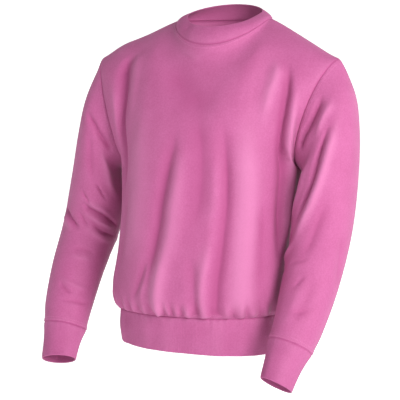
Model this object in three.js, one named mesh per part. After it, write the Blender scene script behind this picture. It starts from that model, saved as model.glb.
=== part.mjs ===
// A crewneck sweatshirt that keeps the shape of a wearer who isn't there.
// Eight cut pieces, each a thin wall of its own: front, back, two sleeves, and rib-knit collar, cuffs and hem band.
// +X is the wearer's left, -Y the front, +Z up. The origin lies midway between the neck ends of the shoulder seams.
import * as THREE from "three";

// Driving sizes, in millimetres
const CLOTH = 2.2; // brushed fleece
const RIB_CLOTH = 2; // rib knit, without its raised ribs
const RIB_HEIGHT = 0.7;
const RIB_PITCH = 4;
const SEAM_GAP = 0.3;
const ARMPIT = -296; // height of the underarm points
const PANEL_WIDTH = 570; // half of the way round the chest, as cut

// Rounded rings of the body below the armpits: centre, half width, and depth before and behind that centre
const TORSO = [
  { name: "hem seam", height: -596, aside: -41, back: -10, half: 172, front: 134, behind: 122 },
  { name: "gathered edge", height: -586, aside: -41, back: -10, half: 181, front: 146, behind: 133 },
  { name: "blouse", height: -558, aside: -42, back: -10, half: 187, front: 155, behind: 142 },
  { name: "waist", height: -506, aside: -40, back: -11, half: 184, front: 154, behind: 140 },
  { name: "ribs", height: -436, aside: -34, back: -12, half: 180, front: 153, behind: 139 },
  { name: "low chest", height: -356, aside: -27, back: -12, half: 179, front: 151, behind: 137 },
  { name: "armpits", height: -296, aside: -24, back: -10, half: 178, front: 147, behind: 133 },
];
const HEM_BAND = [
  { name: "lower edge", height: -669, aside: -41, back: -10, half: 171, front: 133, behind: 121 },
  { name: "middle", height: -632, aside: -41, back: -10, half: 175, front: 137, behind: 125 },
  { name: "seam", height: -596, aside: -41, back: -10, half: 172, front: 134, behind: 122 },
];
const HEM_TILT = 5; // how much lower the band's edge hangs on the wearer's left than at the centre
const RING_SQUARENESS = 2.3; // 2 is an ellipse

// Neck: the collar's seam and its free edge. By a tilt the edge stands a little lower on the wearer's left.
const NECK_SEAM = { aside: 0, back: 8, half: 100, front: 96, behind: 78, side: 0, frontHeight: -52, backHeight: 2, tilt: 0, curl: 1.4 };
const NECK_EDGE = { aside: 2, back: 6, half: 77, front: 80, behind: 66, side: 14, frontHeight: -16, backHeight: 35, tilt: -1, curl: 1.13 };
const NECK_SHARE = 0.4; // the share of a panel's width that ends in the neckline

// Armholes: the shoulder point, the underarm point, how far the loop reaches to the front and back,
// how much the loop cuts in at mid-height, and how much the shoulder seam bows up
const ARMHOLES = {
  left: { side: 1, tip: [250, -10, -84], pit: [170, -8, ARMPIT], inset: 14, forward: 56, rearward: 50, bow: 3.4 },
  right: { side: -1, tip: [-268, -12, -80], pit: [-214, -8, ARMPIT], inset: 8, forward: 56, rearward: 50, bow: 1.2 },
};
const UNDERARM_FLARE = 50; // how far below the armpit the side turns out to the sleeve

// Rings down each sleeve: its points nearest to and farthest from the body, its centre and half depth
// fore and aft, and its swing forwards in degrees
const SLEEVES = {
  left: [
    { inX: 180, inZ: -310, outX: 280, outZ: -142, y: -11, fore: 70, swing: 0 },
    { inX: 173, inZ: -342, outX: 293, outZ: -211, y: -18, fore: 74, swing: 0 },
    { inX: 166, inZ: -384, outX: 295, outZ: -306, y: -26, fore: 74, swing: 0 },
    { inX: 160, inZ: -438, outX: 284, outZ: -421, y: -28, fore: 66, swing: 10 },
    { inX: 151, inZ: -519, outX: 264, outZ: -529, y: -48, fore: 56, swing: 22 },
    { inX: 149, inZ: -598, outX: 243, outZ: -618, y: -90, fore: 49, swing: 28 },
    { inX: 146, inZ: -634, outX: 230, outZ: -654, y: -111, fore: 43, swing: 28 },
  ],
  right: [
    { inX: -229, inZ: -310, outX: -298, outZ: -148, y: -8, fore: 70, swing: 0 },
    { inX: -226, inZ: -341, outX: -318, outZ: -221, y: -6, fore: 74, swing: 0 },
    { inX: -226, inZ: -382, outX: -341, outZ: -321, y: 0, fore: 72, swing: 0 },
    { inX: -247, inZ: -446, outX: -366, outZ: -431, y: 2, fore: 64, swing: 8 },
    { inX: -270, inZ: -530, outX: -380, outZ: -526, y: -28, fore: 56, swing: 20 },
    { inX: -280, inZ: -609, outX: -378, outZ: -604, y: -66, fore: 49, swing: 24 },
    { inX: -283, inZ: -646, outX: -371, outZ: -643, y: -83, fore: 44, swing: 24 },
  ],
};
const CUFFS = {
  left: [
    { inX: 146, inZ: -634, outX: 230, outZ: -654, y: -111, fore: 43, swing: 28 },
    { inX: 145, inZ: -670, outX: 214, outZ: -689, y: -131, fore: 38, swing: 28 },
    { inX: 142, inZ: -706, outX: 203, outZ: -724, y: -150, fore: 36, swing: 28 },
  ],
  right: [
    { inX: -283, inZ: -646, outX: -371, outZ: -643, y: -83, fore: 44, swing: 24 },
    { inX: -287, inZ: -674, outX: -364, outZ: -679, y: -101, fore: 38, swing: 24 },
    { inX: -288, inZ: -703, outX: -360, outZ: -714, y: -118, fore: 36, swing: 24 },
  ],
};

// Soft folds, each a line over its piece with a half width and a height (below zero it is a crease).
// On the panels: across, from the centre to the wearer's left, and the height. Near the hem they are its gathers.
const FOLDS = {
  front: [
    { name: "right armhole crease", a0: -190, h0: -95, a1: -144, h1: -380, width: 17, rise: -9 },
    { name: "right side roll", a0: -222, h0: -110, a1: -204, h1: -330, width: 17, rise: 5 },
    { name: "left armhole crease", a0: 214, h0: -100, a1: 236, h1: -500, width: 17, rise: -10 },
    { name: "left side roll", a0: 256, h0: -150, a1: 258, h1: -420, width: 18, rise: 7 },
    { name: "left chest ridge", a0: 196, h0: -90, a1: 150, h1: -240, width: 22, rise: 4 },
    { name: "chest hollow", a0: -85, h0: -90, a1: 72, h1: -250, width: 34, rise: -6 },
    { name: "hanging hollow", a0: 72, h0: -230, a1: 60, h1: -560, width: 30, rise: -5 },
    { name: "middle crease", a0: -6, h0: -200, a1: -52, h1: -590, width: 15, rise: -5 },
    { name: "middle ridge", a0: 14, h0: -250, a1: -26, h1: -600, width: 17, rise: 5 },
    { name: "left drape", a0: 120, h0: -230, a1: 134, h1: -600, width: 36, rise: 7 },
    { name: "right drape", a0: -96, h0: -200, a1: -112, h1: -560, width: 40, rise: 5 },
    { name: "gather", a0: -82, h0: -520, a1: -84, h1: -604, width: 13, rise: -4 },
    { name: "gather", a0: 10, h0: -530, a1: 8, h1: -604, width: 11, rise: -4 },
    { name: "gather", a0: 44, h0: -520, a1: 46, h1: -604, width: 13, rise: 4 },
    { name: "gather", a0: 84, h0: -500, a1: 82, h1: -604, width: 14, rise: -4 },
    { name: "gather", a0: 186, h0: -500, a1: 190, h1: -604, width: 20, rise: -5 },
    { name: "gather", a0: -150, h0: -510, a1: -156, h1: -604, width: 20, rise: -4 },
    { name: "gather", a0: -200, h0: -500, a1: -206, h1: -604, width: 20, rise: 4 },
  ],
  back: [
    { name: "right armhole crease", a0: -196, h0: -110, a1: -158, h1: -400, width: 20, rise: -8 },
    { name: "left armhole crease", a0: 200, h0: -110, a1: 190, h1: -430, width: 20, rise: -8 },
    { name: "right shoulder blade", a0: -120, h0: -90, a1: -110, h1: -240, width: 50, rise: 5 },
    { name: "left shoulder blade", a0: 122, h0: -90, a1: 110, h1: -240, width: 50, rise: 5 },
    { name: "small of the back", a0: -20, h0: -330, a1: 10, h1: -560, width: 48, rise: -8 },
    { name: "right drape", a0: -92, h0: -330, a1: -104, h1: -600, width: 26, rise: 6 },
    { name: "left drape", a0: 84, h0: -340, a1: 96, h1: -600, width: 26, rise: 6 },
    { name: "gather", a0: -150, h0: -510, a1: -156, h1: -604, width: 20, rise: -4 },
    { name: "gather", a0: 150, h0: -510, a1: 156, h1: -604, width: 20, rise: -4 },
    { name: "gather", a0: -48, h0: -520, a1: -46, h1: -604, width: 16, rise: -4 },
    { name: "gather", a0: 40, h0: -520, a1: 42, h1: -604, width: 16, rise: -4 },
    { name: "gather", a0: -8, h0: -530, a1: -6, h1: -604, width: 14, rise: 4 },
  ],
  // On the sleeves: the turn in degrees from underarm over the front, and the way down in millimetres
  left_sleeve: [
    { name: "long crease", a0: 122, h0: 50, a1: 62, h1: 300, width: 22, rise: -7 },
    { name: "long ridge", a0: 152, h0: 60, a1: 92, h1: 340, width: 24, rise: 4 },
    { name: "armpit roll", a0: 90, h0: 40, a1: 45, h1: 200, width: 22, rise: 5 },
    { name: "lower crease", a0: 96, h0: 300, a1: 20, h1: 350, width: 22, rise: -4 },
    { name: "rear crease", a0: 240, h0: 60, a1: 300, h1: 280, width: 24, rise: -6 },
  ],
  right_sleeve: [
    { name: "long crease", a0: 112, h0: 40, a1: 50, h1: 240, width: 22, rise: -5 },
    { name: "elbow roll", a0: 20, h0: 250, a1: 112, h1: 280, width: 24, rise: 4 },
    { name: "elbow crease", a0: 12, h0: 312, a1: 120, h1: 300, width: 24, rise: -5 },
    { name: "forearm crease", a0: 10, h0: 396, a1: 120, h1: 410, width: 24, rise: -3 },
    { name: "rear crease", a0: 244, h0: 60, a1: 305, h1: 250, width: 24, rise: -6 },
  ],
};
const SLEEVE_GIRTH = 1.15; // millimetres of cloth to a degree of turn
const SLEEVE_LENGTH = 560; // along the middle of the upper side

// How finely each piece is divided
const ROWS_BELOW = [-596, -590, -582, -568, -550, -524, -490, -452, -414, -376, -340, -314];
const ROWS_ABOVE = 12; // rows from the armpit to the shoulder seam, and so half the columns of a sleeve
const SHOULDER_COLUMNS = 8;
const NECK_COLUMNS = { front: 18, back: 16 };
const SLEEVE_ROWS = 17;
const BAND_ROWS = 2;

const radians = (degrees) => (degrees * Math.PI) / 180;
const mix = (a, b, share) => a + (b - a) * share;
const clamp = (value) => Math.min(1, Math.max(0, value));
const ease = (value) => clamp(value) ** 2 * (3 - 2 * clamp(value));
const point = (x, y, z) => new THREE.Vector3(x, y, z);
const listOf = (count, make) => Array.from({ length: count }, (_, i) => make(i));

// The value of one named column at a place between the rows of a table, along a smooth curve
function follow(table, by, name, at) {
  const last = table.length - 1;
  let i = 0;
  while (i < last - 1 && at > table[i + 1][by]) i++;
  const slope = (k) => {
    const before = table[Math.max(k - 1, 0)];
    const after = table[Math.min(k + 1, last)];
    return (after[name] - before[name]) / (after[by] - before[by]);
  };
  const span = table[i + 1][by] - table[i][by];
  const t = (at - table[i][by]) / span;
  return (
    table[i][name] * (2 * t ** 3 - 3 * t ** 2 + 1) +
    slope(i) * span * (t ** 3 - 2 * t ** 2 + t) +
    table[i + 1][name] * (3 * t ** 2 - 2 * t ** 3) +
    slope(i + 1) * span * (t ** 3 - t ** 2)
  );
}

// A point on a rounded ring of the body; turn runs from the centre front towards the wearer's left
function ringPoint(table, height, turn) {
  const at = (name) => follow(table, "height", name, height);
  const sine = Math.sin(radians(turn));
  const cosine = Math.cos(radians(turn));
  const power = 2 / RING_SQUARENESS;
  const depth = cosine > 0 ? -at("front") : at("behind");
  return point(
    at("aside") + at("half") * Math.sign(sine) * Math.abs(sine) ** power,
    at("back") + depth * Math.abs(cosine) ** power,
    height,
  );
}

// A point on the neck seam or the collar's edge; turn as above
function neckPoint(loop, turn) {
  const cosine = Math.cos(radians(turn));
  const inFront = cosine > 0;
  const sine = Math.sin(radians(turn));
  const centreHeight = inFront ? loop.frontHeight : loop.backHeight;
  return point(
    loop.aside + loop.half * sine,
    loop.back - (inFront ? loop.front : loop.behind) * cosine,
    mix(loop.side, centreHeight, Math.abs(cosine) ** loop.curl) + loop.tilt * sine,
  );
}

// The armhole from the underarm point (0) to the shoulder point (1), along its front or its back
function armholePoint(hole, isFront, share) {
  const bow = Math.sin(Math.PI * share);
  const climb = (1 - Math.cos(Math.PI * share)) / 2;
  const reach = isFront ? -hole.forward : hole.rearward;
  return point(
    mix(hole.pit[0], hole.tip[0], climb) - hole.side * hole.inset * bow,
    mix(hole.pit[1], hole.tip[1], climb) + reach * bow,
    mix(hole.pit[2], hole.tip[2], climb),
  );
}

// The upper edge of a panel: shoulder seam, neckline, shoulder seam
function upperEdge(isFront, across) {
  const outward = Math.abs(across);
  if (outward <= NECK_SHARE) {
    const turn = (90 * across) / NECK_SHARE;
    return neckPoint(NECK_SEAM, isFront ? turn : 180 - turn);
  }
  const hole = across > 0 ? ARMHOLES.left : ARMHOLES.right;
  const share = (outward - NECK_SHARE) / (1 - NECK_SHARE);
  const made = neckPoint(NECK_SEAM, 90 * hole.side).lerp(point(...hole.tip), share);
  made.z += hole.bow * Math.sin(Math.PI * share ** 0.45);
  return made;
}

// Below that edge its corners at the neck soften out
const EDGE_SAMPLES = [-2, -1, 0, 1, 2];
function softEdge(isFront, across, share) {
  const spread = 0.16 * (1 - Math.abs(across)) * ease((1 - share) * 3.5);
  const sum = point(0, 0, 0);
  EDGE_SAMPLES.forEach((step) => sum.add(upperEdge(isFront, across + spread * step)));
  return sum.divideScalar(EDGE_SAMPLES.length);
}

// A point on the plain form of the body. across runs from -1 at the wearer's right side to 1 at the left.
function bodyPoint(isFront, across, height) {
  const turn = isFront ? 90 * across : 180 - 90 * across;
  const outward = Math.abs(across);
  const sideShare = ease((outward - 0.45) / 0.55);
  const hole = across > 0 ? ARMHOLES.left : ARMHOLES.right;
  if (height <= ARMPIT) {
    const made = ringPoint(TORSO, height, turn);
    const near = Math.exp(-(((height - ARMPIT) / UNDERARM_FLARE) ** 2));
    made.x += (hole.pit[0] - ringPoint(TORSO, ARMPIT, 90 * hole.side).x) * near * sideShare;
    return made;
  }
  const share = 1 - height / ARMPIT;
  const round = ease((outward - 0.05) / 0.5);
  const inward = mix(share ** 1.7, 1 - Math.cos((share * Math.PI) / 2), round);
  const upward = mix(share, Math.sin((share * Math.PI) / 2), round);
  const arch = (from, to) =>
    point(mix(from.x, to.x, share ** 1.5), mix(from.y, to.y, inward), mix(from.z, to.z, upward));
  const made = arch(ringPoint(TORSO, ARMPIT, turn), softEdge(isFront, across, share));
  const edge = arch(ringPoint(TORSO, ARMPIT, 90 * hole.side), point(...hole.tip));
  return made.addScaledVector(armholePoint(hole, isFront, share).sub(edge), sideShare);
}

// A point on a ring of a sleeve or cuff; turn runs from the inner side over the front to the outer side
function limbPoint(ring, turn) {
  const cosine = Math.cos(radians(turn));
  const ahead = ring.fore * Math.sin(radians(turn));
  return point(
    (ring.inX + ring.outX) / 2 + ((ring.inX - ring.outX) / 2) * cosine,
    ring.y - ahead * Math.cos(radians(ring.swing)),
    (ring.inZ + ring.outZ) / 2 + ((ring.inZ - ring.outZ) / 2) * cosine + ahead * Math.sin(radians(ring.swing)),
  );
}

// A smooth curve through points, for one column of a sleeve
function smoothLine(points, rows) {
  const lengths = [0];
  for (let i = 1; i < points.length; i++) lengths.push(lengths[i - 1] + points[i].distanceTo(points[i - 1]));
  const table = points.map((p, i) => ({ at: lengths[i], x: p.x, y: p.y, z: p.z }));
  return listOf(rows + 1, (i) => {
    const at = (lengths.at(-1) * i) / rows;
    return point(follow(table, "at", "x", at), follow(table, "at", "y", at), follow(table, "at", "z", at));
  });
}

const panelHeights = [...ROWS_BELOW, ...listOf(ROWS_ABOVE + 1, (i) => ARMPIT * (1 - i / ROWS_ABOVE))];

// Grids of points, each row a list. A panel's rows climb from the hem seam to the neck and shoulders.
function acrossList(neckColumns) {
  return [
    ...listOf(SHOULDER_COLUMNS, (i) => mix(-1, -NECK_SHARE, i / SHOULDER_COLUMNS)),
    ...listOf(neckColumns, (i) => mix(-NECK_SHARE, NECK_SHARE, i / neckColumns)),
    ...listOf(SHOULDER_COLUMNS + 1, (i) => mix(NECK_SHARE, 1, i / SHOULDER_COLUMNS)),
  ];
}
function panelGrid(isFront) {
  const places = acrossList(isFront ? NECK_COLUMNS.front : NECK_COLUMNS.back);
  return panelHeights.map((height) => places.map((across) => bodyPoint(isFront, across, height)));
}

// The loop that a sleeve is sewn to: its armhole from underarm over front to shoulder and back
function armholeLoop(side) {
  const column = (piece) => piece.grid.slice(-ROWS_ABOVE - 1).map((row) => (side > 0 ? row.at(-1) : row[0]));
  return [...column(front), ...column(back).reverse().slice(1, -1)];
}

// Where each point of the neckline and of the hem line stands, as a turn about the neck or body,
// from the wearer's right over the front to the left and back
const loopTurns = (frontList, backList, scale) => [
  ...frontList.map((across) => scale * across),
  ...[...backList].reverse().slice(1, -1).map((across) => 180 - scale * across),
];

// A sleeve or cuff: from a loop of points down through rings
function limbGrid(loop, rings, rows) {
  const columns = loop.map((first, j) => {
    const turn = (360 * j) / loop.length;
    return smoothLine([first, ...rings.map((ring) => limbPoint(ring, turn))], rows);
  });
  return listOf(rows + 1, (i) => columns.map((line) => line[i]));
}

// The collar: a curved stand from the neck seam to the free edge
const COLLAR_SWELL = 4; // how far the stand swells between its seam and its edge
function collarGrid(turns) {
  return listOf(BAND_ROWS + 1, (i) => {
    const share = i / BAND_ROWS;
    return turns.map((turn) => {
      const seam = neckPoint(NECK_SEAM, turn);
      const made = seam.clone().lerp(neckPoint(NECK_EDGE, turn), share);
      const out = point(seam.x, seam.y - NECK_SEAM.back, 20).normalize();
      return made.addScaledVector(out, COLLAR_SWELL * Math.sin(Math.PI * share));
    });
  });
}

// How far the folds raise the cloth at one place of a piece, away from its seams
function foldRise(folds, across, along, toMillimetres, seamFade) {
  let rise = 0;
  for (const { a0, h0, a1, h1, width, rise: height } of folds) {
    const [x, y] = [(across - a0) * toMillimetres, along - h0];
    const [dx, dy] = [(a1 - a0) * toMillimetres, h1 - h0];
    const length = Math.hypot(dx, dy);
    const share = clamp((x * dx + y * dy) / length ** 2);
    const off = Math.hypot(x - share * dx, y - share * dy);
    const ends = ease(share / 0.3) * ease((1 - share) / 0.3) * 0.85 + 0.15;
    rise += height * ends * Math.exp(-((off / width) ** 2));
  }
  return rise * seamFade;
}

// Raises a grid's inner points along its normals
function foldGrid(piece, placeAt) {
  const normals = gridNormals(piece);
  piece.grid.forEach((row, i) =>
    row.forEach((p, j) => {
      const { across, along, toMillimetres, fade } = placeAt(i, j);
      p.addScaledVector(normals[i][j], foldRise(FOLDS[piece.name], across, along, toMillimetres, fade));
    }),
  );
}

// Normals of a grid's points, facing the side given by sign
function gridNormals({ grid, closed, sign }) {
  const rows = grid.length;
  const columns = grid[0].length;
  return grid.map((row, i) =>
    row.map((_, j) => {
      const left = closed ? row[(j - 1 + columns) % columns] : row[Math.max(j - 1, 0)];
      const right = closed ? row[(j + 1) % columns] : row[Math.min(j + 1, columns - 1)];
      const low = grid[Math.max(i - 1, 0)][j];
      const high = grid[Math.min(i + 1, rows - 1)][j];
      return right.clone().sub(left).cross(high.clone().sub(low)).normalize().multiplyScalar(sign);
    }),
  );
}

// Pieces that meet at a seam share the direction of their walls there, and it turns evenly along a band's seam
const placeKey = (p) => [p.x, p.y, p.z].map((value) => Math.round(value * 100)).join();
function shareNormals(list) {
  const meeting = new Map();
  for (const { grid, normals } of list) {
    grid.forEach((row, i) =>
      row.forEach((p, j) => {
        if (!meeting.has(placeKey(p))) meeting.set(placeKey(p), []);
        meeting.get(placeKey(p)).push(normals[i][j]);
      }),
    );
  }
  for (const directions of meeting.values()) {
    const sum = directions.reduce((total, direction) => total.add(direction), point(0, 0, 0)).normalize();
    directions.forEach((direction) => direction.copy(sum));
  }
  for (const { grid } of list.filter((piece) => piece.ribbed)) {
    const directions = grid[0].map((p) => meeting.get(placeKey(p))[0].clone());
    grid[0].forEach((p, j) => {
      const sum = directions[j].clone().multiplyScalar(2).add(directions.at(j - 1));
      sum.add(directions[(j + 1) % directions.length]).normalize();
      meeting.get(placeKey(p)).forEach((direction) => direction.copy(sum));
    });
  }
}

// Each piece's edge points move into the piece by half the seam gap, square to the edges they stand on
function openSeams(piece) {
  const { grid, closed, normals } = piece;
  const last = grid.length - 1;
  const columns = grid[0].length;
  const place = (i, j) => grid[Math.min(Math.max(i, 0), last)][closed ? (j + columns) % columns : Math.min(Math.max(j, 0), columns - 1)];
  const steps = [-1, 0, 1];
  piece.grid = grid.map((row, i) =>
    row.map((p, j) => {
      const onRow = i === 0 || i === last;
      const onSide = !closed && (j === 0 || j === columns - 1);
      if (!onRow && !onSide) return p.clone();
      const middle = point(0, 0, 0);
      for (const di of steps) for (const dj of steps) middle.addScaledVector(place(i + di, j + dj), 1 / 9);
      const normal = normals[i][j];
      const inner = middle.sub(p).projectOnPlane(normal).normalize();
      const beside = [
        ...(onRow ? [place(i, j - 1), place(i, j + 1)] : []),
        ...(onSide ? [place(i - 1, j), place(i + 1, j)] : []),
      ].filter((q) => q.distanceTo(p) > 1e-6);
      const ways = beside.map((q) => {
        const across = normal.clone().cross(q.clone().sub(p).normalize());
        if (across.length() < 0.5) return inner.clone();
        return across.normalize().multiplyScalar(Math.sign(across.dot(inner)) || 1);
      });
      const mitre = Math.max(0.4, 1 + ways[0].dot(ways[1]));
      return p.clone().addScaledVector(ways[0].add(ways[1]), SEAM_GAP / 2 / mitre);
    }),
  );
}

function solidFrom(points, faces) {
  const geometry = new THREE.BufferGeometry();
  geometry.setAttribute("position", new THREE.Float32BufferAttribute(points.flatMap((p) => [p.x, p.y, p.z]), 3));
  geometry.setIndex(faces);
  geometry.computeVertexNormals();
  return geometry;
}

// A closed wall: the grid's points outside, the same points moved in by the cloth's thickness inside.
// On a band of rib knit each outer row also has its ribs, raised between plain hollows.
function wallGeometry({ grid, normals, closed, sign, ribbed }) {
  const rows = grid.length;
  const columns = grid[0].length;
  const steps = closed ? columns : columns - 1;
  const thickness = ribbed ? RIB_CLOTH : CLOTH;
  const ribs = listOf(steps, (j) => {
    const length = grid[0][j].distanceTo(grid[0][(j + 1) % columns]);
    return ribbed ? 2 * Math.max(1, Math.round(length / RIB_PITCH)) : 1;
  });
  const starts = [0];
  for (const count of ribs) starts.push(starts.at(-1) + count);
  const width = closed ? starts.at(-1) : starts.at(-1) + 1;
  const outer = [];
  grid.forEach((row, i) => {
    for (let j = 0; j < steps; j++)
      for (let k = 0; k < ribs[j]; k++) {
        const next = (j + 1) % columns;
        const made = row[j].clone().lerp(row[next], k / ribs[j]);
        const out = normals[i][j].clone().lerp(normals[i][next], k / ribs[j]).normalize();
        outer.push(made.addScaledVector(out, k % 2 ? RIB_HEIGHT : 0));
      }
    if (!closed) outer.push(row.at(-1));
  });
  const inner = grid.flatMap((row, i) => row.map((p, j) => p.clone().addScaledVector(normals[i][j], -thickness)));
  const faces = [];
  const triangle = (a, b, c) => (sign > 0 ? faces.push(a, b, c) : faces.push(a, c, b));
  const quad = (a, b, c, d) => {
    triangle(a, b, c);
    triangle(a, c, d);
  };
  const over = (i, s) => i * width + (closed ? s % width : s);
  const under = (i, j) => outer.length + i * columns + (j % columns);
  for (let i = 0; i < rows - 1; i++) {
    for (let s = 0; s < starts.at(-1); s++) quad(over(i, s), over(i, s + 1), over(i + 1, s + 1), over(i + 1, s));
    for (let j = 0; j < steps; j++) quad(under(i, j), under(i + 1, j), under(i + 1, j + 1), under(i, j + 1));
  }
  for (const [i, turned] of [[0, false], [rows - 1, true]]) {
    const rim = (a, b, c) => (turned ? triangle(a, c, b) : triangle(a, b, c));
    for (let j = 0; j < steps; j++) {
      const middle = starts[j] + Math.ceil(ribs[j] / 2);
      const turn = closed && j >= steps / 2 && ribs[j] === 1 ? 0 : middle;
      for (let s = starts[j]; s < starts[j + 1]; s++) rim(under(i, s < turn ? j : j + 1), over(i, s + 1), over(i, s));
      rim(under(i, j), under(i, j + 1), over(i, turn ? middle : starts[j]));
    }
  }
  if (!closed)
    for (let i = 0; i < rows - 1; i++) {
      quad(over(i + 1, 0), under(i + 1, 0), under(i, 0), over(i, 0));
      quad(under(i, columns - 1), under(i + 1, columns - 1), over(i + 1, width - 1), over(i, width - 1));
    }
  return solidFrom([...outer, ...inner], faces);
}

const front = { name: "front", grid: panelGrid(true), closed: false, sign: 1 };
const back = { name: "back", grid: panelGrid(false), closed: false, sign: -1 };
const pieces = [front, back];
for (const name of ["left", "right"]) {
  const { side } = ARMHOLES[name];
  const sleeve = limbGrid(armholeLoop(side), SLEEVES[name], SLEEVE_ROWS);
  const cuff = limbGrid(sleeve.at(-1), CUFFS[name].slice(1), BAND_ROWS);
  pieces.push({ name: `${name}_sleeve`, grid: sleeve, closed: true, sign: -side });
  pieces.push({ name: `${name}_cuff`, grid: cuff, closed: true, sign: -side, ribbed: true });
}
const frontList = acrossList(NECK_COLUMNS.front);
const backList = acrossList(NECK_COLUMNS.back);
const neckPart = (list) => list.slice(SHOULDER_COLUMNS, -SHOULDER_COLUMNS);
const neckTurns = loopTurns(neckPart(frontList), neckPart(backList), 90 / NECK_SHARE);
pieces.push({ name: "collar", grid: collarGrid(neckTurns), closed: true, sign: 1, ribbed: true });
const hemTurns = loopTurns(frontList, backList, 90);
const hemGrid = listOf(BAND_ROWS + 1, (i) => {
  const height = mix(HEM_BAND.at(-1).height, HEM_BAND[0].height, i / BAND_ROWS);
  return hemTurns.map((turn) => {
    const made = ringPoint(HEM_BAND, height, turn);
    made.z -= (HEM_TILT * Math.sin(radians(turn)) * i) / BAND_ROWS;
    return made;
  });
});
pieces.push({ name: "hem_band", grid: hemGrid, closed: true, sign: -1, ribbed: true });

for (const [piece, list] of [[front, frontList], [back, backList]])
  foldGrid(piece, (i, j) => {
    const along = panelHeights[i];
    const across = (list[j] * PANEL_WIDTH) / 2;
    const toSide = ease((1 - Math.abs(list[j])) / 0.1);
    const toTop = ease(-along / 30);
    const toHem = ease((along - panelHeights[0]) / 14);
    return { across, along, toMillimetres: 1, fade: toSide * toTop * toHem };
  });
for (const piece of pieces.filter(({ name }) => name.endsWith("sleeve")))
  foldGrid(piece, (i, j) => ({
    across: (360 * j) / piece.grid[0].length,
    along: (SLEEVE_LENGTH * i) / SLEEVE_ROWS,
    toMillimetres: SLEEVE_GIRTH,
    fade: ease(i / 1.5) * ease((SLEEVE_ROWS - i) / 1.2),
  }));
for (const piece of pieces) piece.normals = gridNormals(piece);
shareNormals(pieces);
pieces.forEach(openSeams);

const sweatshirt = new THREE.Group();
for (const piece of pieces) {
  const color = piece.ribbed ? 0xcf6da6 : 0xd978b0;
  const material = new THREE.MeshStandardMaterial({ color, roughness: 0.9, metalness: 0 });
  const mesh = new THREE.Mesh(wallGeometry(piece), material);
  mesh.name = piece.name;
  sweatshirt.add(mesh);
}
export default sweatshirt;
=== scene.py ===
# %% [markdown]
# A crewneck sweatshirt, filled out as worn
#
# This notebook dresses the sweatshirt's plain solids in real looking cloth: brushed fleece for the front,
# back and sleeves, and rib knit for the collar, cuffs and hem band. The solids come first and fix every size.
# The cloth is rebuilt from the same measures with a much finer grid, so that it lies exactly where they are.

import math

import bpy
import numpy as np
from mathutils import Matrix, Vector


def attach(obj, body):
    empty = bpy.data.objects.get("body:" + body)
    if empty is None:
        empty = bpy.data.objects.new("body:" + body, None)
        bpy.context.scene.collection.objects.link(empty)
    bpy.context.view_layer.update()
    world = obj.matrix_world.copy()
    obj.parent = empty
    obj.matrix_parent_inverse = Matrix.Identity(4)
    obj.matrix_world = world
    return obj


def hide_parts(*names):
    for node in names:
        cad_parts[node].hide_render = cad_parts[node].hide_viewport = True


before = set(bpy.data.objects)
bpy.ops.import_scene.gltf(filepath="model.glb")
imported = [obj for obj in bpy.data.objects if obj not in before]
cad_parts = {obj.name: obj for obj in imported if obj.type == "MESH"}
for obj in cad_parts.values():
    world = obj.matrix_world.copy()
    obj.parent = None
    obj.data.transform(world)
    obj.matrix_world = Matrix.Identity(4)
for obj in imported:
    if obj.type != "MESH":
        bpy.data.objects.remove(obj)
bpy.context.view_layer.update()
MM = 0.001

# %% [markdown]
# The measures of the body
#
# A sweatshirt's body is a tube that ends in two shoulders. Below the armpits it is described by rounded rings,
# like the rings that a tailor measures: their height, their centre, their half width, and their depth in front
# of and behind that centre. They could also be modelled by pushing a cylinder about by hand, but numbers keep
# the cloth and the solids in step. Everything is in millimetres until it becomes a mesh.

# %% Rings of the body and of the hem band: height, aside, back, half width, front, behind
TORSO = np.array([
    (-596, -41, -10, 172, 134, 122),
    (-586, -41, -10, 181, 146, 133),
    (-558, -42, -10, 187, 155, 142),
    (-506, -40, -11, 184, 154, 140),
    (-436, -34, -12, 180, 153, 139),
    (-356, -27, -12, 179, 151, 137),
    (-296, -24, -10, 178, 147, 133),
], float)
HEM_BAND = np.array([
    (-669, -41, -10, 171, 133, 121),
    (-632, -41, -10, 175, 137, 125),
    (-596, -41, -10, 172, 134, 122),
], float)
HEM_TILT = 5
RING_SQUARENESS = 2.3
ARMPIT = -296
PANEL_HALF = 285
print("Half of the way round the chest, as cut:", 2 * PANEL_HALF, "mm")

# %% [markdown]
# The neck and the armholes
#
# The collar stands on the neck seam and leans in to its free edge. Both are loops that dip at the front. An
# armhole runs from the underarm point over its front or its back up to the shoulder point, and cuts in a
# little on the way, as a set-in sleeve's does.

# %% Neck loops, and the two armholes
NECK_SEAM = dict(aside=0, back=8, half=100, front=96, behind=78, side=0, low=-52, high=2, tilt=0, curl=1.4)
NECK_EDGE = dict(aside=2, back=6, half=77, front=80, behind=66, side=14, low=-16, high=35, tilt=-1, curl=1.13)
NECK_SHARE = 0.4
COLLAR_SWELL = 4
LEFT_HOLE = dict(side=1, tip=(250, -10, -84), pit=(170, -8, ARMPIT), inset=14, front=-56, behind=50, bow=3.4)
RIGHT_HOLE = dict(
    side=-1, tip=(-268, -12, -80), pit=(-214, -8, ARMPIT), inset=8, front=-56, behind=50, bow=1.2
)
UNDERARM_FLARE = 50
SIDE_SWELL, SWELL_HEIGHT, SWELL_REACH = 7.5, -400, 85

# %% [markdown]
# The measures of the sleeves
#
# Each sleeve is a string of tilted rings from the armhole to the cuff: the point nearest to the body, the
# point farthest from it, the centre's depth, half the depth fore and aft, and how far the ring swings
# forwards. The wearer's left arm hangs with its hand in front, and the right one is bent a little more.

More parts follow.
